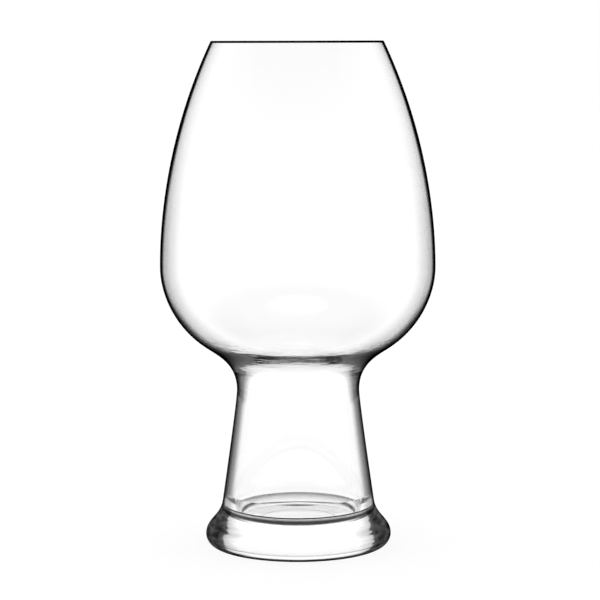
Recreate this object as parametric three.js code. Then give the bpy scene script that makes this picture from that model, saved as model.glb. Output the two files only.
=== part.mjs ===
// A tall wheat beer glass: a thin blown bowl on a hollow stem and a thick foot, three gathers of glass
// that are fused hot at two seams. Millimetres, +Z up. It stands on z = 0 and its axis is the Z axis.
import * as THREE from "three";

// Foot
const footRadius = 35.43; // at its widest
const footEdgeRadius = 4.5; // rounding under the foot's edge, down to the table
const restWidth = 4.2; // flat ring that the glass stands on
const puntDepth = 0.4; // hollow under the foot, at the axis
const floorEdgeHeight = 14.2; // edge of the well's floor, from the table
const floorDish = 7.2; // how far the floor dips from there to the axis
const floorPower = 14; // the higher, the flatter the floor and the steeper its edge
const wellCornerRadius = 1.0; // rounding between the well's floor and its wall
const wellStraight = 4.8; // upright wall from that rounding to the seam with the stem
const flareStraight = 2.7; // straight outside from the flare to the same seam
const flareCrown = 4.8; // how far the widest edge runs upright before it turns in
const flareSweep = 6.9; // how far the hollow of the flare reaches down from the stem

// Stem
const stemLength = 39.9; // from the foot's seam to the neck
const stemFootRadius = 28.57; // outside, at the foot's seam
const neckRadius = 23.3; // outside, at the neck, where the bowl is fused on
const neckEase = 1.4; // height below the neck where the cone's line would meet the upright
const stemFootWall = 3.4;
const neckWall = 3.65;

// Bowl
const flankRadius = 35.96; // outside, where the hollow curve above the neck turns into the bowl's round
const flankRise = 17.35; // from the neck up to there
const flankLean = 55.3; // degrees from upright
const bellyRadius = 52.15; // outside, at the widest
const bellyRise = 29.6; // from the flank up to the widest
const mouthRadius = 32.55; // outside, at the rim
const mouthRise = 84.9; // from the widest up to the rounding of the rim
const mouthLean = -25.4; // degrees from upright, leaning in
const rimWall = 1.0; // the rim is a full round of this thickness
const bowlWalls = [
  // height above the neck, wall there: as thick as the stem at first, thin where the bowl is blown out
  [0, neckWall],
  [4.1, 3.55],
  [7.6, 3.27],
  [10.1, 2.97],
  [12.1, 2.6],
  [15.1, 1.93],
  [17.6, 1.56],
  [26.1, 1.35],
  [flankRise + bellyRise, 1.2],
  [flankRise + bellyRise + mouthRise, rimWall],
];
const neckPull = 10.4; // reach of each curve's ends, from the neck up to the rim
const flankPullDown = 6.1;
const flankPullUp = 14.1;
const bellyPullDown = 8.9;
const bellyPullUp = 16.5;
const mouthPull = 39.5;

// Fineness of the facets
const roundSteps = 64;
const curveSteps = 8;
const stemSteps = 4;
const cornerSteps = 4;
const puntSteps = 3;
const dishSteps = 8;
const dishCrowding = 1.7; // facets of the floor crowd towards its edge

// Heights that follow from the sizes above
const footHeight = floorEdgeHeight + wellCornerRadius + wellStraight;
const neckHeight = footHeight + stemLength;
const flankHeight = neckHeight + flankRise;
const bellyHeight = flankHeight + bellyRise;
const mouthHeight = bellyHeight + mouthRise;

const point = (radius, height) => new THREE.Vector2(radius, height);

// Unit vector that leans by so many degrees from upright, away from the axis.
function leaning(degrees) {
  const angle = THREE.MathUtils.degToRad(degrees);
  return point(Math.sin(angle), Math.cos(angle));
}

// A stretch of outline that leaves one point and reaches the next along given directions.
function stretch(from, leave, leavePull, to, arrive, arrivePull) {
  const first = from.clone().addScaledVector(leave, leavePull);
  const second = to.clone().addScaledVector(arrive, -arrivePull);
  return new THREE.CubicBezierCurve(from, first, second, to);
}

// Round corner about a centre, between two angles in degrees counted from outwards to upwards.
function corner(centre, radius, fromDegrees, toDegrees) {
  return Array.from({ length: cornerSteps + 1 }, (_, i) => {
    const degrees = THREE.MathUtils.lerp(fromDegrees, toDegrees, i / cornerSteps);
    return centre.clone().addScaledVector(leaning(90 - degrees), radius);
  });
}

// Wall of the bowl at a height, read off the table above.
function bowlWallAt(height) {
  const rise = THREE.MathUtils.clamp(height - neckHeight, 0, bowlWalls.at(-1)[0]);
  const upper = Math.max(1, bowlWalls.findIndex(([r]) => r >= rise - 1e-9));
  const [r0, wall0] = bowlWalls[upper - 1];
  const [r1, wall1] = bowlWalls[upper];
  return THREE.MathUtils.mapLinear(rise, r0, r1, wall0, wall1);
}

// The inner face of the bowl along one of its curves, square to the outside.
function insideOf(curve) {
  return Array.from({ length: curveSteps + 1 }, (_, i) => {
    const outside = curve.getPoint(i / curveSteps);
    const along = curve.getTangent(i / curveSteps);
    const inward = point(-along.y, along.x);
    return outside.clone().addScaledVector(inward, bowlWallAt(outside.y));
  });
}

// Runs of points joined end to end, with each shared end kept once.
function joined(...runs) {
  const line = [];
  for (const p of runs.flat()) {
    const last = line.at(-1);
    if (!last || last.distanceTo(p) > 1e-6) line.push(p);
  }
  return line;
}

// Solid of revolution about Z with its own clear glass.
function turned(name, profile) {
  const geometry = new THREE.LatheGeometry(profile, roundSteps);
  geometry.rotateX(Math.PI / 2);
  const glass = new THREE.MeshStandardMaterial({
    color: 0xf4f7f7,
    roughness: 0.02,
    metalness: 0,
    transparent: true,
    opacity: 0.35,
  });
  const mesh = new THREE.Mesh(geometry, glass);
  mesh.name = name;
  return mesh;
}

const upright = leaning(0);
const stemFoot = point(stemFootRadius, footHeight);
const neck = point(neckRadius, neckHeight);
const coneMeetsNeck = point(neckRadius, neckHeight - neckEase);
const stemLine = new THREE.QuadraticBezierCurve(stemFoot, coneMeetsNeck, neck);
const coneDirection = stemLine.getTangent(0);

// Foot: a thick disc with a shallow punt below and the dished floor of the well on top.
function makeFoot() {
  const restRadius = footRadius - footEdgeRadius;
  const puntRadius = restRadius - restWidth;
  const punt = Array.from({ length: puntSteps + 1 }, (_, i) => {
    const share = i / puntSteps;
    return point(puntRadius * share, puntDepth * (1 - share * share));
  });
  const edge = corner(point(restRadius, footEdgeRadius), footEdgeRadius, -90, 0);
  const flareTop = stemFoot.clone().addScaledVector(coneDirection, -flareStraight);
  const flare = stretch(edge.at(-1), upright, flareCrown, flareTop, coneDirection, flareSweep);
  const wellRadius = stemFootRadius - stemFootWall;
  const floorRadius = wellRadius - wellCornerRadius;
  const wellCorner = point(floorRadius, floorEdgeHeight + wellCornerRadius);
  const dish = Array.from({ length: dishSteps + 1 }, (_, i) => {
    const share = 1 - (i / dishSteps) ** dishCrowding;
    return point(floorRadius * share, floorEdgeHeight - floorDish * (1 - share ** floorPower));
  });
  return turned(
    "foot",
    joined(
      punt,
      edge,
      flare.getPoints(curveSteps),
      [stemFoot, point(wellRadius, footHeight)],
      corner(wellCorner, wellCornerRadius, 0, -90),
      dish,
    ),
  );
}

// Stem: a hollow cone, its wall measured level so that both seams are flat.
function makeStem() {
  const outside = stemLine.getPoints(stemSteps);
  const inside = outside.map((p) => {
    const share = (p.y - footHeight) / stemLength;
    return point(p.x - THREE.MathUtils.lerp(stemFootWall, neckWall, share), p.y);
  });
  return turned("stem", joined(outside, inside.reverse(), [stemFoot]));
}

// Bowl: sweeps out from the neck, rounds to its widest and draws in to the mouth.
function makeBowl() {
  const flank = point(flankRadius, flankHeight);
  const belly = point(bellyRadius, bellyHeight);
  const mouth = point(mouthRadius, mouthHeight);
  const flankWay = leaning(flankLean);
  const mouthWay = leaning(mouthLean);
  const lower = stretch(neck, upright, neckPull, flank, flankWay, flankPullDown);
  const round = stretch(flank, flankWay, flankPullUp, belly, upright, bellyPullDown);
  const upper = stretch(belly, upright, bellyPullUp, mouth, mouthWay, mouthPull);
  const inwards = point(-mouthWay.y, mouthWay.x);
  const rimCentre = mouth.clone().addScaledVector(inwards, rimWall / 2);
  const inside = joined(insideOf(lower), insideOf(round), insideOf(upper));
  return turned(
    "bowl",
    joined(
      lower.getPoints(curveSteps),
      round.getPoints(curveSteps),
      upper.getPoints(curveSteps),
      corner(rimCentre, rimWall / 2, -mouthLean, 180 - mouthLean),
      inside.reverse(),
      [neck],
    ),
  );
}

const wheatBeerGlass = new THREE.Group();
wheatBeerGlass.add(makeFoot(), makeStem(), makeBowl());

export default wheatBeerGlass;
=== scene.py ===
# %% [markdown]
# # A wheat beer glass
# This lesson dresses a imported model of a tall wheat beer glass. The real one is a single body of clear
# glass: a thin blown bowl, a hollow stem and a thick foot, fused hot. Clear glass has no colour of its
# own, so its looks come from true curves, a true wall and what the bent light meets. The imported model
# is loaded first and stays the fixed frame.

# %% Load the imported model
import math

import bpy
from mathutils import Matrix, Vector
from mathutils.geometry import interpolate_bezier


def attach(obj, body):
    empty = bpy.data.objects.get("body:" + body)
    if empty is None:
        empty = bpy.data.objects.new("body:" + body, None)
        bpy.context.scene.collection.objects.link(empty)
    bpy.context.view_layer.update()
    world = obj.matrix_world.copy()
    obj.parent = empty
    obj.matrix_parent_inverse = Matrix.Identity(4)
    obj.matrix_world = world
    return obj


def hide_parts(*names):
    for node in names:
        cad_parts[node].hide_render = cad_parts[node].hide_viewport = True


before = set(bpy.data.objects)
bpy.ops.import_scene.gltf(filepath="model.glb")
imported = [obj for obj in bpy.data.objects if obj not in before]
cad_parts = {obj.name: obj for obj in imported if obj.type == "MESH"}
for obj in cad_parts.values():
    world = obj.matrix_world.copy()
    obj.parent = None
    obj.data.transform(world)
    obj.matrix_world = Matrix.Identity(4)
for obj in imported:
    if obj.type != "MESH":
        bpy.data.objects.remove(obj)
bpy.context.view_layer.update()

# %% [markdown]
# ## The camera
# The picture was taken level with the rim, from a little under a metre, through a long lens that looks
# slightly down. A shifted lens could frame the same picture, but a tilted camera keeps every other view
# in the middle too.

# %% Camera
CAMERA_PLACE = (0.00082, -0.85, 0.192)
CAMERA_TILT = 6.566  # degrees below the horizon
CAMERA_ROLL = -0.147  # degrees
LENS = 135.2
SENSOR_WIDTH = 36.0

camera_data = bpy.data.cameras.new("studio_camera")
camera_data.lens = LENS
camera_data.sensor_width = SENSOR_WIDTH
camera = bpy.data.objects.new("studio_camera", camera_data)
camera.location = CAMERA_PLACE
camera.rotation_euler = (math.radians(90.0 - CAMERA_TILT), 0.0, 0.0)
camera.rotation_euler.rotate_axis("Z", math.radians(CAMERA_ROLL))
bpy.context.scene.collection.objects.link(camera)
bpy.context.scene.camera = camera
print("camera at", CAMERA_PLACE, "lens", LENS)

# %% [markdown]
# ## Drawing half an outline
# A glass is turned, so half its section says all. It could be a curve with a Screw modifier, but here
# it is drawn as a list of points: round corners and Bezier stretches that leave and arrive along a
# given lean. All sizes are in millimetres, as radius and height.

# %% Outline helpers
MM = 0.001
SAME_PLACE = 1e-4  # points nearer than this are one


def leaning(degrees):
    """Unit step that leans by so many degrees from upright, away from the axis."""
    angle = math.radians(degrees)
    return Vector((math.sin(angle), 0.0, math.cos(angle)))


def spot(radius, height):
    return Vector((radius, 0.0, height))


def stretch(start, leave, leave_pull, end, arrive, arrive_pull, steps):
    """Points of a curve that leaves start and arrives at end along the two leans."""
    first = start + leaning(leave) * leave_pull
    second = end - leaning(arrive) * arrive_pull
    return interpolate_bezier(start, first, second, end, steps + 1)


def corner(centre, radius, from_degrees, to_degrees, steps):
    """Points of a round corner; degrees count from outwards to upwards."""
    turn = (to_degrees - from_degrees) / steps
    angles = [math.radians(from_degrees + turn * i) for i in range(steps + 1)]
    return [centre + Vector((math.cos(a), 0.0, math.sin(a))) * radius for a in angles]


def joined(*runs):
    """Runs of points end to end, with each shared end kept once."""
    line = []
    for place in (p for run in runs for p in run):
        if not line or (place - line[-1]).length > SAME_PLACE:
            line.append(place)
    return line


# %% [markdown]
# ## Giving a wall its thickness
# Blown glass thins as it is stretched. A Solidify modifier gives one thickness all over, so the inner
# face is drawn instead: each point of the outside is moved inwards, square to the outline, by the wall
# at its height. The walls come from a short table, and the line through it is smooth, so that no ring
# shows in the glass.

# %% Wall helpers
def smooth_line(table):
    """A function through (position, value) pairs that is smooth and never overshoots them."""
    steps = [b[0] - a[0] for a, b in zip(table, table[1:])]
    rises = [(b[1] - a[1]) / step for a, b, step in zip(table, table[1:], steps)]
    slopes = [0.0]
    for before, after in zip(rises, rises[1:]):
        slopes.append(2.0 * before * after / (before + after) if before * after > 0.0 else 0.0)
    slopes.append(rises[-1])

    def value(position):
        i = max(k for k in range(len(steps)) if k == 0 or table[k][0] <= position)
        step = steps[i]
        t = (position - table[i][0]) / step
        start = (1.0 + 2.0 * t) * (1.0 - t) ** 2 * table[i][1] + t * (1.0 - t) ** 2 * step * slopes[i]
        end = t * t * (3.0 - 2.0 * t) * table[i + 1][1] + t * t * (t - 1.0) * step * slopes[i + 1]
        return start + end

    return value


def wall_inside(outside, wall_at):
    """The inner face of a wall whose thickness, square to its outside, goes by the height."""
    last = len(outside) - 1
    inside = []
    for i, place in enumerate(outside):
        ahead = outside[min(i + 1, last)] - outside[max(i - 1, 0)]
        inward = Vector((-ahead.z, 0.0, ahead.x)).normalized()
        inside.append(place + inward * wall_at(place.z))
    return inside


# %% [markdown]
# ## Turning an outline
# By hand, one point is extruded along the outline in edit mode and the line is then spun round the
# axis. The spin meets itself, so its doubles are merged and its normals made to point outwards. Edges
# that turn sharply, as at a seam, keep their crease, and all others are shaded smooth.

# %% The lathe
ROUND_STEPS = 224
MERGE_GAP = 2e-7
CREASE = math.radians(40.0)
START_PLANE = 0.01  # side of the plane that is merged to one point


def lone_point(name, place):
    """A new piece in edit mode that is only one point."""
    bpy.ops.object.select_all(action="DESELECT")
    bpy.ops.mesh.primitive_plane_add(size=START_PLANE)
    piece = bpy.context.object
    piece.name = name
    piece.data.name = name
    bpy.ops.object.mode_set(mode="EDIT")
    bpy.ops.mesh.select_all(action="SELECT")
    bpy.ops.mesh.merge(type="CENTER")
    bpy.ops.transform.translate(value=place)
    return piece


def turned(name, outline):
    """Draws an outline by extruding a point and spins it into a closed piece."""
    places = [place * MM for place in outline]
    piece = lone_point(name, places[0])
    for here, there in zip(places, places[1:]):
        bpy.ops.mesh.extrude_region_move(TRANSFORM_OT_translate={"value": there - here})
    bpy.ops.mesh.select_all(action="SELECT")
    bpy.ops.mesh.spin(steps=ROUND_STEPS, angle=math.tau, center=(0, 0, 0), axis=(0, 0, 1))
    bpy.ops.mesh.select_all(action="SELECT")
    bpy.ops.mesh.remove_doubles(threshold=MERGE_GAP)
    bpy.ops.mesh.normals_make_consistent(inside=False)
    bpy.ops.object.mode_set(mode="OBJECT")
    bpy.ops.object.shade_smooth_by_angle(angle=CREASE)
    print(name, len(outline), "outline points,", len(piece.data.polygons), "faces")
    return piece


# %% [markdown]
# ## The cone between foot and neck
# The stem is a cone that stands on the foot and eases to upright at the neck. The foot's flare runs
# into it and the bowl grows out of it, so its line is drawn first and gives both their directions.

# %% Cone
SEAM_FOOT = 20.0  # heights of the two seams
SEAM_NECK = 59.9
STEM_FOOT_RADIUS = 28.57
STEM_FOOT_WALL = 3.4
NECK_RADIUS = 23.3
NECK_WALL = 3.65
NECK_EASE = 3.5  # height below the neck where the cone's line would meet the upright

stem_foot = spot(STEM_FOOT_RADIUS, SEAM_FOOT)
neck = spot(NECK_RADIUS, SEAM_NECK)
cone_top = spot(NECK_RADIUS, SEAM_NECK - NECK_EASE)
cone_run = cone_top - stem_foot
cone_lean = math.degrees(math.atan2(cone_run.x, cone_run.z))
print("the cone leans", round(cone_lean, 2), "degrees")

# %% [markdown]
# ## The foot
# The foot is a thick disc of pressed glass. Its edge is a full round that flares from the stem and
# turns under to a narrow flat ring, and its underside is very slightly hollow, so that it doesn't rock.
# A cylinder with bevels could come near, but the flare is one long hollow curve, so it is turned.

# %% Outside of the foot
FOOT_RADIUS = 35.43
FOOT_EDGE = 4.5  # rounding under the edge
FOOT_EDGE_STEPS = 16
REST_WIDTH = 4.2  # flat ring that the glass stands on
PUNT_DEPTH = 0.4
PUNT_STEPS = 14
FLARE_STRAIGHT = 2.7  # below the seam, in line with the cone
FLARE_CROWN = 4.8
FLARE_SWEEP = 6.9
FLARE_STEPS = 26

rest_outer = FOOT_RADIUS - FOOT_EDGE
punt_radius = rest_outer - REST_WIDTH
punt = []
for i in range(PUNT_STEPS + 1):
    punt.append(spot(punt_radius * i / PUNT_STEPS, PUNT_DEPTH * (1.0 - (i / PUNT_STEPS) ** 2)))
foot_edge = corner(spot(rest_outer, FOOT_EDGE), FOOT_EDGE, -90.0, 0.0, FOOT_EDGE_STEPS)
flare_top = stem_foot - leaning(cone_lean) * FLARE_STRAIGHT
flare = stretch(foot_edge[-1], 0.0, FLARE_CROWN, flare_top, cone_lean, FLARE_SWEEP, FLARE_STEPS)
print("flat ring from", round(punt_radius, 2), "to", round(rest_outer, 2), "mm")

# %% [markdown]
# The top of the foot is the floor of the hollow stem. It drops steeply inside its edge and is nearly
# flat from there, which a high power of the radius gives. The points crowd towards the edge, where it
# turns most.

# %% Well in the foot
FLOOR_EDGE = 14.2
FLOOR_DISH = 7.2
FLOOR_POWER = 14  # higher is flatter, with a steeper edge
FLOOR_STEPS = 36
FLOOR_CROWDING = 1.7
WELL_CORNER = 1.0
WELL_CORNER_STEPS = 10

well_radius = STEM_FOOT_RADIUS - STEM_FOOT_WALL
floor_radius = well_radius - WELL_CORNER
well_rim = spot(well_radius, SEAM_FOOT)
corner_centre = spot(floor_radius, FLOOR_EDGE + WELL_CORNER)
well_corner = corner(corner_centre, WELL_CORNER, 0.0, -90.0, WELL_CORNER_STEPS)
well_floor = []
for i in range(FLOOR_STEPS + 1):
    share = 1.0 - (i / FLOOR_STEPS) ** FLOOR_CROWDING
    drop = FLOOR_DISH * (1.0 - share ** FLOOR_POWER)
    well_floor.append(spot(floor_radius * share, FLOOR_EDGE - drop))
foot = turned("foot_glass", joined(
    punt, foot_edge, flare, [stem_foot, well_rim], well_corner, well_floor))

# %% [markdown]
# ## The stem
# The stem is a hollow cone. Both of its ends are flat rings, where the hot glass of the foot and of the
# bowl is fused on, so its wall is measured level. The points crowd towards the neck, so that the
# shading of stem and bowl agrees at their seam.

# %% Stem
STEM_STEPS = 40


def stem_spot(share):
    """Outside of the stem, from the foot at 0 to the neck at 1."""
    rest = 1.0 - share
    return stem_foot * rest * rest + cone_top * 2.0 * rest * share + neck * share * share


stem_outside = [stem_spot(1.0 - (1.0 - i / STEM_STEPS) ** 2) for i in range(STEM_STEPS + 1)]
stem_inside = []
for place in stem_outside:
    share = (place.z - SEAM_FOOT) / (SEAM_NECK - SEAM_FOOT)
    wall = STEM_FOOT_WALL + (NECK_WALL - STEM_FOOT_WALL) * share
    stem_inside.append(spot(place.x - wall, place.z))
stem = turned("stem_glass", joined(stem_outside, stem_inside[::-1], [stem_foot]))

# %% [markdown]
# ## The bowl
# Outside, the bowl sweeps out from the neck, rounds to its widest and draws in to the mouth: three
# stretches that meet without a kink.

# %% Outside of the bowl
FLANK = spot(35.96, 77.25)
FLANK_LEAN = 55.3
BELLY = spot(52.15, 106.85)
MOUTH = spot(32.55, 191.72)
MOUTH_LEAN = -25.4
NECK_PULL = 10.4  # reach of each curve's ends, from the neck up to the rim
FLANK_PULL_DOWN = 6.1
FLANK_PULL_UP = 14.1
BELLY_PULL_DOWN = 8.9
BELLY_PULL_UP = 16.5
MOUTH_PULL = 39.5
LOWER_STEPS = 40
BELLY_STEPS = 30
UPPER_STEPS = 40
RIM_BAND = 0.8  # share of the last step at which the rim's own finish starts

bowl_lower = stretch(neck, 0.0, NECK_PULL, FLANK, FLANK_LEAN, FLANK_PULL_DOWN, LOWER_STEPS)
bowl_round = stretch(FLANK, FLANK_LEAN, FLANK_PULL_UP, BELLY, 0.0, BELLY_PULL_DOWN, BELLY_STEPS)
bowl_upper = stretch(BELLY, 0.0, BELLY_PULL_UP, MOUTH, MOUTH_LEAN, MOUTH_PULL, UPPER_STEPS)
bowl_upper.insert(-1, bowl_upper[-2].lerp(MOUTH, RIM_BAND))
bowl_outside = joined(bowl_lower, bowl_round, bowl_upper)
print("bowl outside has", len(bowl_outside), "points")

# %% [markdown]
# Inside, the wall is as thick as the stem's at the neck and thins quickly where the bowl sweeps out.
# That wedge bends light like a prism into the grey band above the stem, which painted shade in the
# blown finish deepens. Above it the wall is blown thin, and the rim is a full round, as a flame leaves it.

# %% Bowl
RIM_WALL = 1.0
RIM_STEPS = 12
BOWL_WALLS = [(SEAM_NECK, NECK_WALL), (64.0, 3.55), (67.5, 3.27), (70.0, 2.97), (72.0, 2.6), (75.0, 1.93),
              (77.5, 1.56), (86.0, 1.35), (BELLY.z, 1.2), (MOUTH.z, RIM_WALL)]  # height, wall

bowl_inside = wall_inside(bowl_outside, smooth_line(BOWL_WALLS))
rim_in = leaning(MOUTH_LEAN - 90.0)
rim_centre = MOUTH + rim_in * RIM_WALL / 2.0
rim = corner(rim_centre, RIM_WALL / 2.0, -MOUTH_LEAN, 180.0 - MOUTH_LEAN, RIM_STEPS)
bowl_inside[0] = stem_inside[-1]
bowl_inside[-1] = rim[-1]
bowl = turned("bowl_glass", joined(bowl_outside, rim, bowl_inside[::-1], [neck]))

# %% [markdown]
# ## What the glass does with light
# In the studio the glass stands before a bright white sheet, and the dark room beside and above it
# shows only where the glass bends light far round: along the outlines, in the thick neck and at the
# ends of the foot. A dark room built of cards would show in other views. So the room stays white, and
# its dark is painted into the glass as shade: the glass loses the light that meets it aslant or that was
# turned back inside its wall. Layer Weight tells how aslant, and Light Path whether light was turned.
# These helpers only shorten the wiring of nodes.

# %% Nodes for the finishes
def grey(value):
    return (value, value, value, 1.0)


def put(tree, kind, **inputs):
    """A new node with its unlinked inputs set by name."""
    node = tree.nodes.new(kind)
    for socket, value in inputs.items():
        node.inputs[socket.replace("_", " ")].default_value = value
    return node


def feed(tree, source, socket):
    """Links a socket, or sets a plain number."""
    if isinstance(source, (int, float)):
        socket.default_value = source
    else:
        tree.links.new(source, socket)


def math_of(tree, operation, first, second):
    node = tree.nodes.new("ShaderNodeMath")
    node.operation = operation
    feed(tree, first, node.inputs[0])
    feed(tree, second, node.inputs[1])
    return node.outputs[0]


def blend_of(tree, factor, low, high):
    node = tree.nodes.new("ShaderNodeMix")
    node.data_type = "FLOAT"
    feed(tree, factor, node.inputs["Factor"])
    feed(tree, low, node.inputs["A"])
    feed(tree, high, node.inputs["B"])
    return node.outputs["Result"]


def along(tree, source, stops):
    """A value read off a line through (position, value) stops."""
    node = tree.nodes.new("ShaderNodeValToRGB")
    elements = node.color_ramp.elements
    while len(elements) < len(stops):
        elements.new(0.5)
    for element, (position, value) in zip(elements, stops):
        element.position = position
        element.color = grey(value)
    tree.links.new(source, node.inputs[0])
    return node.outputs["Color"]


# %% [markdown]
# ## Where on the glass
# The wall is several millimetres thick in the stem and about one in the bowl, and a wedge of glass lies
# between them. The foot is solid, and its lowest edge, over the table, gets a painted dark line. Painted
# masks could say so, but all of it goes by height, so one node group reads it off the place on the
# glass. It also tells how far a place is from the axis, counted in radii of the foot.

# %% Group: places by height
BANDS = {  # from this height to that one, in metres, the mask goes from this value to that one
    "Stem wall": (0.0555, 0.0600, 1.0, 0.0),
    "Over neck": (0.0550, 0.0590, 0.0, 1.0),
    "Under wedge": (0.0675, 0.0715, 1.0, 0.0),
    "Thick wall": (0.064, 0.083, 1.0, 0.0),
    "Bowl wall": (0.079, 0.087, 0.0, 1.0),
    "Low bowl": (0.085, 0.102, 1.0, 0.0),
    "High bowl": (0.110, 0.165, 0.0, 1.0),
    # The foot's bands below place its painted shade, and the last one its painted black line over the
    # table.
    "Foot": (0.0145, 0.0175, 1.0, 0.0),
    "Flare": (0.008, 0.0125, 0.0, 1.0),
    "Foot edge": (0.0024, 0.0046, 1.0, 0.0),
    "Under edge": (0.0009, 0.0019, 1.0, 0.0),
}
PER_METRE = 1.0 / FOOT_RADIUS / MM

place_group = bpy.data.node_groups.new("places_by_height", "ShaderNodeTree")
place_group.interface.new_socket("Place", in_out="INPUT", socket_type="NodeSocketVector")
for output in (*BANDS, "From axis"):
    place_group.interface.new_socket(output, in_out="OUTPUT", socket_type="NodeSocketFloat")
group_in = place_group.nodes.new("NodeGroupInput")
group_out = place_group.nodes.new("NodeGroupOutput")
height = place_group.nodes.new("ShaderNodeSeparateXYZ")
place_group.links.new(group_in.outputs["Place"], height.inputs[0])
for band, (low, high, below, above) in BANDS.items():
    ease = put(place_group, "ShaderNodeMapRange", From_Min=low, From_Max=high, To_Min=below, To_Max=above)
    ease.interpolation_type = "SMOOTHSTEP"
    place_group.links.new(height.outputs["Z"], ease.inputs["Value"])
    place_group.links.new(ease.outputs["Result"], group_out.inputs[band])
level = place_group.nodes.new("ShaderNodeVectorMath")
level.operation = "MULTIPLY"
level.inputs[1].default_value = (PER_METRE, PER_METRE, 0.0)
place_group.links.new(group_in.outputs["Place"], level.inputs[0])
radius = place_group.nodes.new("ShaderNodeVectorMath")
radius.operation = "LENGTH"
place_group.links.new(level.outputs["Vector"], radius.inputs[0])
place_group.links.new(radius.outputs["Value"], group_out.inputs["From axis"])
print("group", place_group.name, "with", list(BANDS))

# %% [markdown]
# ## Streaks
# Where glass was pressed, or worked at the neck while it was soft, it holds level streaks: its surface
# ripples a little, and dark reflections break up into ragged lines. Modelled ripples would need
# millions of faces. Noise that is stretched round the axis and short in height gives the same lines, so
# one group makes it at two sizes. It ripples the neck as a Bump and makes the foot's painted shade ragged.

# %% Group: streaks of worked glass
STREAKS = {"Streak": ((120.0, 120.0, 900.0), 3.0), "Fine": ((150.0, 150.0, 700.0), 2.0)}  # scale, detail

streak_group = bpy.data.node_groups.new("level_streaks", "ShaderNodeTree")
streak_group.interface.new_socket("Place", in_out="INPUT", socket_type="NodeSocketVector")
group_in = streak_group.nodes.new("NodeGroupInput")
group_out = streak_group.nodes.new("NodeGroupOutput")
for streak, (scale, detail) in STREAKS.items():
    streak_group.interface.new_socket(streak, in_out="OUTPUT", socket_type="NodeSocketFloat")
    flatten = put(streak_group, "ShaderNodeMapping", Scale=scale)
    noise = put(streak_group, "ShaderNodeTexNoise", Scale=1.0, Detail=detail)
    streak_group.links.new(group_in.outputs["Place"], flatten.inputs["Vector"])
    streak_group.links.new(flatten.outputs["Vector"], noise.inputs["Vector"])
    streak_group.links.new(noise.outputs["Fac"], group_out.inputs[streak])
print("group", streak_group.name, "with", list(STREAKS))

# %% [markdown]
# ## Clear glass
# Every finish starts as clear glass that bends light as soda-lime glass does. The painted shade that is
# added to it goes by the place on the glass, by how aslant the surface is, and by the side from which
# the light meets it.

# %% Clear glass and what it can tell
GLASS_INDEX = 1.5
WHITE = grey(1.0)
BLACK = grey(0.0)


def new_glass(name, roughness=0.0):
    """Clear glass, with its tree and its shader."""
    finish = bpy.data.materials.new(name)
    finish.use_nodes = True
    shader = finish.node_tree.nodes["Principled BSDF"]
    shader.inputs["Base Color"].default_value = WHITE
    shader.inputs["Roughness"].default_value = roughness
    shader.inputs["IOR"].default_value = GLASS_INDEX
    shader.inputs["Transmission Weight"].default_value = 1.0
    return finish, finish.node_tree, shader


def group_on_place(tree, group):
    """A node group that reads the place on the glass."""
    place = tree.nodes.new("ShaderNodeTexCoord")
    node = tree.nodes.new("ShaderNodeGroup")
    node.node_tree = group
    tree.links.new(place.outputs["Object"], node.inputs["Place"])
    return node


def slant_of(tree):
    """0 where the surface faces the ray, 1 where it is edge-on to it."""
    return put(tree, "ShaderNodeLayerWeight", Blend=0.5).outputs["Facing"]


def from_inside(tree):
    """1 for light that meets the surface from within the glass."""
    return tree.nodes.new("ShaderNodeNewGeometry").outputs["Backfacing"]


def first_met(tree):
    """1 where the eye meets the outside of the glass, 0 for light that is already in it."""
    seen = tree.nodes.new("ShaderNodeLightPath").outputs["Is Camera Ray"]
    return math_of(tree, "MULTIPLY", seen, math_of(tree, "SUBTRACT", 1.0, from_inside(tree)))


# %% [markdown]
# ## Painted shade
# Two kinds of painted shade are added where they are wanted. Light that was turned back inside the wall
# is thinned by a painted grey tint when it leaves, and the eye's first meeting with the outside is mixed
# with black where it is very aslant. A dark Base Color alone would keep the white reflection at the edge,
# so black is mixed in as a shader. Worked glass also gets a little Bump.

# %% Ways to paint shade and bend light
def tint_grey(tree, shader, value):
    """A painted grey tint: lets the glass pass only a share of the light."""
    tint = tree.nodes.new("ShaderNodeCombineColor")
    for channel in tint.inputs:
        tree.links.new(value, channel)
    tree.links.new(tint.outputs["Color"], shader.inputs["Base Color"])


def tint_turned(tree, shader, left):
    """Painted shade: lets through only a share of the light that was turned back inside the glass."""
    bounces = tree.nodes.new("ShaderNodeLightPath").outputs["Glossy Depth"]
    has_turned = math_of(tree, "GREATER_THAN", bounces, 0.5)
    turned_back = math_of(tree, "MULTIPLY", has_turned, from_inside(tree))
    lost = math_of(tree, "MULTIPLY", turned_back, math_of(tree, "SUBTRACT", 1.0, left))
    tint_grey(tree, shader, math_of(tree, "SUBTRACT", 1.0, lost))


def darken(tree, shader, share, where_seen):
    """Painted shade: mixes the glass with black, only where and as it is seen."""
    dark = tree.nodes.new("ShaderNodeBsdfPrincipled")
    dark.inputs["Base Color"].default_value = BLACK
    dark.inputs["Specular IOR Level"].default_value = 0.0
    mixed = tree.nodes.new("ShaderNodeMixShader")
    tree.links.new(math_of(tree, "MULTIPLY", share, where_seen), mixed.inputs["Fac"])
    tree.links.new(shader.outputs["BSDF"], mixed.inputs[1])
    tree.links.new(dark.outputs["BSDF"], mixed.inputs[2])
    tree.links.new(mixed.outputs["Shader"], tree.nodes["Material Output"].inputs["Surface"])


def ripple(tree, shader, height, depth):
    """Ripples the surface by a height from 0 to 1, so many metres deep."""
    bump = put(tree, "ShaderNodeBump", Strength=1.0, Distance=depth)
    tree.links.new(height, bump.inputs["Height"])
    tree.links.new(bump.outputs["Normal"], shader.inputs["Normal"])
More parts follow.
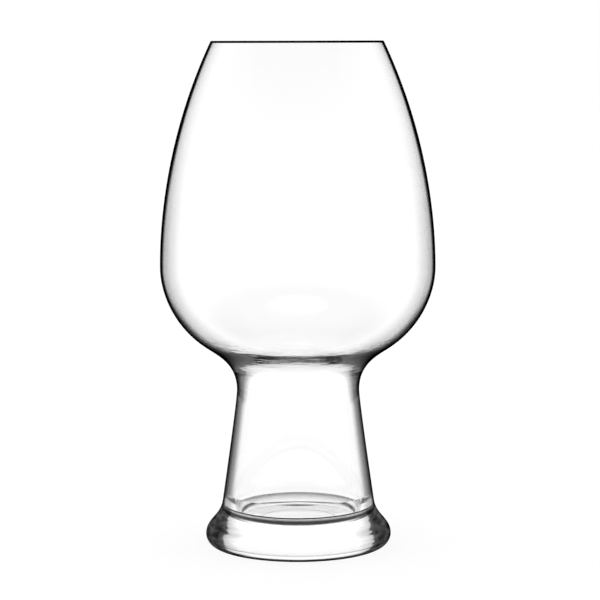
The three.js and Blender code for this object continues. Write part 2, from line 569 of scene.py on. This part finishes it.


# %% [markdown]
# ## Blown glass
# The bowl and the stem are one finish. The thin bowl gets a painted fine black outline with a narrow
# grey band of painted shade inside it, which fades towards the mouth. The thick stem gets a painted black
# outline that melts inwards over its whole wall. The lines of stops below hold those painted shades, from
# facing the eye to edge-on, and the height blends them. The neck ripples a little, where the hot bowl was
# worked on to the stem.

# %% Shades of blown glass, by slant
THIN_EDGE = [(0.47, 0.0), (0.50, 0.05), (0.53, 0.11), (0.556, 0.18), (0.59, 0.23), (0.622, 0.27),
             (0.661, 0.34), (0.69, 0.38), (0.77, 0.40), (0.80, 0.8), (0.82, 0.97), (0.85, 1.0)]
LOW_EDGE = [(0.47, 0.0), (0.53, 0.11), (0.59, 0.23), (0.662, 0.34), (0.681, 0.40), (0.70, 0.576),
            (0.718, 0.64), (0.737, 0.74), (0.757, 0.82), (0.773, 0.88), (0.789, 0.93), (0.86, 1.0)]
NECK_EDGE = [(0.43, 0.0), (0.455, 0.18), (0.48, 0.28), (0.507, 0.44), (0.537, 0.56), (0.575, 0.75),
             (0.61, 0.79), (0.646, 0.83), (0.69, 0.90), (0.747, 0.965), (0.80, 1.0)]
HIGH_EDGE = [(0.50, 0.0), (0.60, 0.08), (0.68, 0.17), (0.74, 0.24), (0.755, 0.5), (0.78, 0.93), (0.80, 1.0)]
THICK_EDGE = [(0.62, 0.0), (0.656, 0.1), (0.70, 0.5), (0.757, 0.82), (0.83, 1.0)]
THIN_TURNED = [(0.20, 1.0), (0.232, 0.72), (0.242, 0.09), (0.247, 0.0)]
THICK_TURNED = [(0.17, 1.0), (0.1857, 0.45), (0.193, 0.24), (0.2005, 0.09), (0.2083, 0.03), (0.2162, 0.008),
                (0.2243, 0.004), (0.2327, 0.001), (0.25, 0.001), (0.27, 0.4), (0.30, 0.7), (0.5, 0.8)]
print("outlines are black from slant", THIN_EDGE[-1][0], "in the bowl,", THICK_EDGE[-1][0], "in the stem")

# %% Finish: blown glass of the bowl and stem
NECK_RIPPLE = 0.00009  # metres

blown_glass, tree, shader = new_glass("blown_clear_glass")
where = group_on_place(tree, place_group).outputs
streaks = group_on_place(tree, streak_group).outputs
slant = slant_of(tree)
# Painted shade: turned light is tinted, and the outline and the neck's band are mixed with black by slant.
bowl_left = blend_of(tree, where["Bowl wall"], 1.0, along(tree, slant, THIN_TURNED))
left = blend_of(tree, where["Stem wall"], bowl_left, along(tree, slant, THICK_TURNED))
tint_turned(tree, shader, left)
edge = blend_of(tree, where["High bowl"], along(tree, slant, THIN_EDGE), along(tree, slant, HIGH_EDGE))
edge = blend_of(tree, where["Low bowl"], edge, along(tree, slant, LOW_EDGE))
edge = blend_of(tree, where["Thick wall"], edge, along(tree, slant, THICK_EDGE))
at_neck = math_of(tree, "MULTIPLY", where["Over neck"], where["Under wedge"])
neck_edge = math_of(tree, "MULTIPLY", at_neck, along(tree, slant, NECK_EDGE))
darken(tree, shader, math_of(tree, "MAXIMUM", edge, neck_edge), first_met(tree))
off_wedge = math_of(tree, "MAXIMUM", where["Stem wall"], where["Bowl wall"])
wedge = math_of(tree, "SUBTRACT", 1.0, off_wedge)
ripple(tree, shader, math_of(tree, "MULTIPLY", wedge, streaks["Streak"]), NECK_RIPPLE)
print(blown_glass.name, len(tree.nodes), "nodes")

# %% [markdown]
# ## Pressed glass
# The solid foot is bright in front, and painted shade makes it nearly black at its two ends, where it
# bends light all the way round. The border between them is ragged, because the pressed surface is
# streaky. So the coarse streaks push the border to and fro, and the fine ones make the painted black
# blotchy. The border also shifts with the height: outwards on the flare and the edge, and far inwards
# under the edge, where a thin painted black line runs over the gap at the table.

# %% Finish: pressed glass of the foot
FOOT_SLANT = [(0.26, 0.0), (0.33, 0.22), (0.385, 0.38), (0.41, 0.6), (0.425, 0.92), (0.46, 0.94),
              (0.50, 0.985), (0.56, 0.98), (0.63, 0.965), (0.70, 0.955), (0.76, 0.985), (0.82, 1.0)]
FOOT_SHADE_MOTTLE = [(0.36, 0.94), (0.50, 0.98), (0.62, 1.0)]
NOISE_MIDDLE = 0.5
RAGGED = 0.12
FLARE_SHIFT = 0.09
EDGE_SHIFT = 0.12
UNDER_SHIFT = 0.26
OVER_FOOT = 0.6  # share of the neck's shade that the foot has above its flare

pressed_glass, tree, shader = new_glass("pressed_clear_glass")
where = group_on_place(tree, place_group).outputs
streaks = group_on_place(tree, streak_group).outputs
slant = slant_of(tree)
# Painted shade: turned light is tinted, and the ends and the line under the edge are mixed with black.
tint_turned(tree, shader, along(tree, slant, THICK_TURNED))
off_middle = math_of(tree, "SUBTRACT", streaks["Streak"], NOISE_MIDDLE)
border = math_of(tree, "ADD", slant, math_of(tree, "MULTIPLY", off_middle, RAGGED))
for band, shift in (("Flare", FLARE_SHIFT), ("Foot edge", EDGE_SHIFT), ("Under edge", -UNDER_SHIFT)):
    border = math_of(tree, "SUBTRACT", border, math_of(tree, "MULTIPLY", where[band], shift))
shade_mottle = along(tree, streaks["Fine"], FOOT_SHADE_MOTTLE)
ends = math_of(tree, "MULTIPLY", along(tree, border, FOOT_SLANT), shade_mottle)
over_foot = math_of(tree, "MULTIPLY", along(tree, slant, NECK_EDGE), OVER_FOOT)
over_foot = math_of(tree, "MAXIMUM", over_foot, along(tree, slant, THICK_EDGE))
darken(tree, shader, blend_of(tree, where["Foot"], over_foot, ends), first_met(tree))
print(pressed_glass.name, len(tree.nodes), "nodes")

# %% [markdown]
# ## The rim
# The rim is a tiny round rod, polished in a flame. It bends light so far that it shows dark, so a black
# line is painted on it as shade.

# %% Finish: rim with a painted black line
# Painted shade: the rim is mixed with black at every slant.
RIM_EDGE = [(0.0, 0.98), (0.25, 1.0)]

rim_glass, tree, shader = new_glass("rim_painted_black")
slant = slant_of(tree)
tint_turned(tree, shader, along(tree, slant, THIN_TURNED))
darken(tree, shader, along(tree, slant, RIM_EDGE), first_met(tree))
print(rim_glass.name, len(tree.nodes), "nodes")

# %% [markdown]
# ## The well
# The dished floor of the well and the top of its corner bend light sharply, so from inside the foot
# they get painted shade, black where they face the eye, in a ring that is wider at the sides. Through
# the well they get painted grey towards the edge. The lip between them is painted grey from above only,
# and two fine darker lines are drawn round the floor by its tint. The stops for the floor go by the
# distance from the axis, in radii of the foot.

# %% Finishes: lip, corner and floor of the well
# Painted shade: the share of light that each part lets through, and the share of black mixed in.
LIP_CLEAR = 0.2
CORNER_CLEAR = 0.05
CORNER_DARK = 0.97
FACED = [(0.64, 1.0), (0.80, 0.0)]  # by slant, as the next
ASIDE = [(0.38, 0.0), (0.55, 1.0)]
DISH_CLEAR = [(0.56, 0.95), (0.62, 0.90), (0.655, 0.72), (0.674, 0.38), (0.681, 0.18)]
DISH_LINES = [(0.39, 0.66), (0.405, 0.35), (0.414, 0.35), (0.43, 0.66),
              (0.622, 0.66), (0.634, 0.0), (0.651, 0.0), (0.654, 1.0)]
DISH_DARK = [(0.655, 0.0), (0.662, 0.98), (0.6755, 0.98), (0.678, 0.25)]
DISH_SIDES = [(0.640, 0.0), (0.646, 0.99), (0.6755, 0.99), (0.678, 0.25)]

lip_glass, tree, shader = new_glass("well_lip_glass")
tint_grey(tree, shader, blend_of(tree, from_inside(tree), LIP_CLEAR, 1.0))

corner_glass, tree, shader = new_glass("well_corner_glass")
shader.inputs["Base Color"].default_value = grey(CORNER_CLEAR)
corner_dark = math_of(tree, "MULTIPLY", along(tree, slant_of(tree), FACED), CORNER_DARK)
darken(tree, shader, corner_dark, from_inside(tree))

floor_glass, tree, shader = new_glass("well_floor_glass")
from_axis = group_on_place(tree, place_group).outputs["From axis"]
slant = slant_of(tree)
dish_lines = blend_of(tree, from_inside(tree), along(tree, from_axis, DISH_LINES), 1.0)
tint_grey(tree, shader, math_of(tree, "MULTIPLY", dish_lines, along(tree, from_axis, DISH_CLEAR)))
in_front = along(tree, from_axis, DISH_DARK)
dish_dark = blend_of(tree, along(tree, slant, ASIDE), in_front, along(tree, from_axis, DISH_SIDES))
dish_dark = math_of(tree, "MULTIPLY", dish_dark, along(tree, slant, FACED))
darken(tree, shader, dish_dark, from_inside(tree))
print("well finishes:", [finish.name for finish in (lip_glass, corner_glass, floor_glass)])

# %% [markdown]
# ## Base and seams
# The ground base is rough glass that lets the table's light through, and a painted glow adds light to
# it, while its aslant edge gets painted shade. The two seams are fused glass: no light is bent there. The
# pieces could be joined into one mesh, but each stands for its own imported solid, so the faces at the
# seams are left out with Alpha.

# %% Finishes: base and seams
BASE_ROUGHNESS = 0.7
# Painted light: the base glows though it is no lamp.
BASE_GLOW = 0.36
BASE_EDGE = [(0.25, 0.0), (0.45, 1.0)]

base_glass, tree, shader = new_glass("ground_base_glass", BASE_ROUGHNESS)
shader.inputs["Emission Color"].default_value = WHITE
shader.inputs["Emission Strength"].default_value = BASE_GLOW
darken(tree, shader, along(tree, slant_of(tree), BASE_EDGE), first_met(tree))

seam = bpy.data.materials.new("fused_seam")
seam.use_nodes = True
seam.node_tree.nodes["Principled BSDF"].inputs["Alpha"].default_value = 0.0
print("finishes:", base_glass.name, seam.name)

# %% [markdown]
# ## Picking faces
# By hand, faces would be selected and assigned in edit mode. Here a test on the middle and the normal
# of each face picks them, so a change of shape needs no new selection.

# %% Tests that pick faces
SEAM_GAP = 1e-5  # metres
SEAM_LEVEL = 0.99  # least upward or downward part of a normal
WELL_LEVEL = 0.02
LIP_LEVEL = 0.75
BASE_LEVEL = 0.75
BASE_TOP = 1.2
RIM_START = 191.45


def at_seam(height):
    return lambda middle, normal: abs(middle.z - height * MM) < SEAM_GAP and abs(normal.z) > SEAM_LEVEL


def in_well(middle, normal):
    return math.hypot(middle.x, middle.y) < well_radius * MM and normal.z > WELL_LEVEL


def over_floor(middle, normal):
    return in_well(middle, normal) and middle.z > FLOOR_EDGE * MM


def in_corner(middle, normal):
    return over_floor(middle, normal) and normal.z < LIP_LEVEL


def in_lip(middle, normal):
    return over_floor(middle, normal) and normal.z > LIP_LEVEL


def in_base(middle, normal):
    return normal.z < -BASE_LEVEL and middle.z < BASE_TOP * MM


def in_rim(middle, normal):
    return middle.z > RIM_START * MM


# %% [markdown]
# ## Putting the finishes on
# Each piece gets all its finishes as material slots, the one for most of its faces first. The tests
# then move some faces to another slot, and a later test overrules an earlier one.

# %% Put the finishes on
def dress(piece, *finishes):
    for finish in finishes:
        piece.data.materials.append(finish)


def finish_faces(piece, finish, wanted):
    """Gives a finish to the faces that a test picks by their middle and normal."""
    slot = piece.data.materials.find(finish.name)
    count = 0
    for face in piece.data.polygons:
        if wanted(face.center, face.normal):
            face.material_index = slot
            count += 1
    print(piece.name, finish.name, count, "faces")


dress(foot, pressed_glass, seam, floor_glass, corner_glass, lip_glass, base_glass)
dress(stem, blown_glass, seam)
dress(bowl, blown_glass, seam, rim_glass)
finish_faces(foot, floor_glass, in_well)
finish_faces(foot, corner_glass, in_corner)
finish_faces(foot, lip_glass, in_lip)
finish_faces(foot, base_glass, in_base)
finish_faces(foot, seam, at_seam(SEAM_FOOT))
finish_faces(stem, seam, at_seam(SEAM_FOOT))
finish_faces(stem, seam, at_seam(SEAM_NECK))
finish_faces(bowl, seam, at_seam(SEAM_NECK))
finish_faces(bowl, rim_glass, in_rim)

# %% [markdown]
# ## Floor and room
# The floor is a wide pale plane. It glows for most of its white and takes the rest from the room, so
# the glass still shades it a little. It lies a hair under the foot, so that the two don't flicker.

# %% Floor
FLOOR_SIZE = 6.0
FLOOR_GAP = 0.00005
FLOOR_GREY = 0.25
FLOOR_ROUGHNESS = 0.9
FLOOR_GLOW = 0.785

bpy.ops.object.select_all(action="DESELECT")
bpy.ops.mesh.primitive_plane_add(size=FLOOR_SIZE, location=(0.0, 0.0, -FLOOR_GAP))
floor = bpy.context.object
floor.name = "studio_floor"
floor_paint = bpy.data.materials.new("studio_floor")
floor_paint.use_nodes = True
floor_shader = floor_paint.node_tree.nodes["Principled BSDF"]
floor_shader.inputs["Base Color"].default_value = grey(FLOOR_GREY)
floor_shader.inputs["Roughness"].default_value = FLOOR_ROUGHNESS
floor_shader.inputs["Specular IOR Level"].default_value = 0.0
floor_shader.inputs["Emission Color"].default_value = WHITE
floor_shader.inputs["Emission Strength"].default_value = FLOOR_GLOW
floor.data.materials.append(floor_paint)
print("floor", FLOOR_SIZE, "m wide")

# %% [markdown]
# The room is a white tent that lights the glass evenly from all sides. A lamp could do that too, but
# each lamp shows as a spot in the glass. Only light that was bent by the glass meets a dark ceiling,
# high above.

# %% Room
CEILING_START = 25.0  # degrees above the horizon
CEILING_FULL = 50.0
CEILING_DARK = 0.03

room = bpy.data.worlds.new("white_room")
bpy.context.scene.world = room
room.use_nodes = True
tree = room.node_tree
background = tree.nodes["Background"]
background.inputs["Color"].default_value = WHITE
direction = tree.nodes.new("ShaderNodeTexCoord")
upwards = tree.nodes.new("ShaderNodeSeparateXYZ")
tree.links.new(direction.outputs["Generated"], upwards.inputs[0])
ceiling = put(tree, "ShaderNodeMapRange", From_Min=math.sin(math.radians(CEILING_START)),
              From_Max=math.sin(math.radians(CEILING_FULL)), To_Min=0.0, To_Max=1.0 - CEILING_DARK)
ceiling.interpolation_type = "SMOOTHSTEP"
tree.links.new(upwards.outputs["Z"], ceiling.inputs["Value"])
bent = tree.nodes.new("ShaderNodeLightPath").outputs["Is Transmission Ray"]
dimmed = math_of(tree, "MULTIPLY", bent, ceiling.outputs["Result"])
tree.links.new(math_of(tree, "SUBTRACT", 1.0, dimmed), background.inputs["Strength"])
bpy.context.scene.view_settings.view_transform = "Standard"
print("room", room.name, "with a dark ceiling above", CEILING_START, "degrees")

# %% [markdown]
# ## Handing over to the frame
# Each turned piece stands for the imported solid of the same name and rides on the one body there is.

# %% Hand over to the frame
for piece, node in ((foot, "foot"), (stem, "stem"), (bowl, "bowl")):
    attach(piece, "root")
    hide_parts(node)
    print(piece.name, "stands for", node)
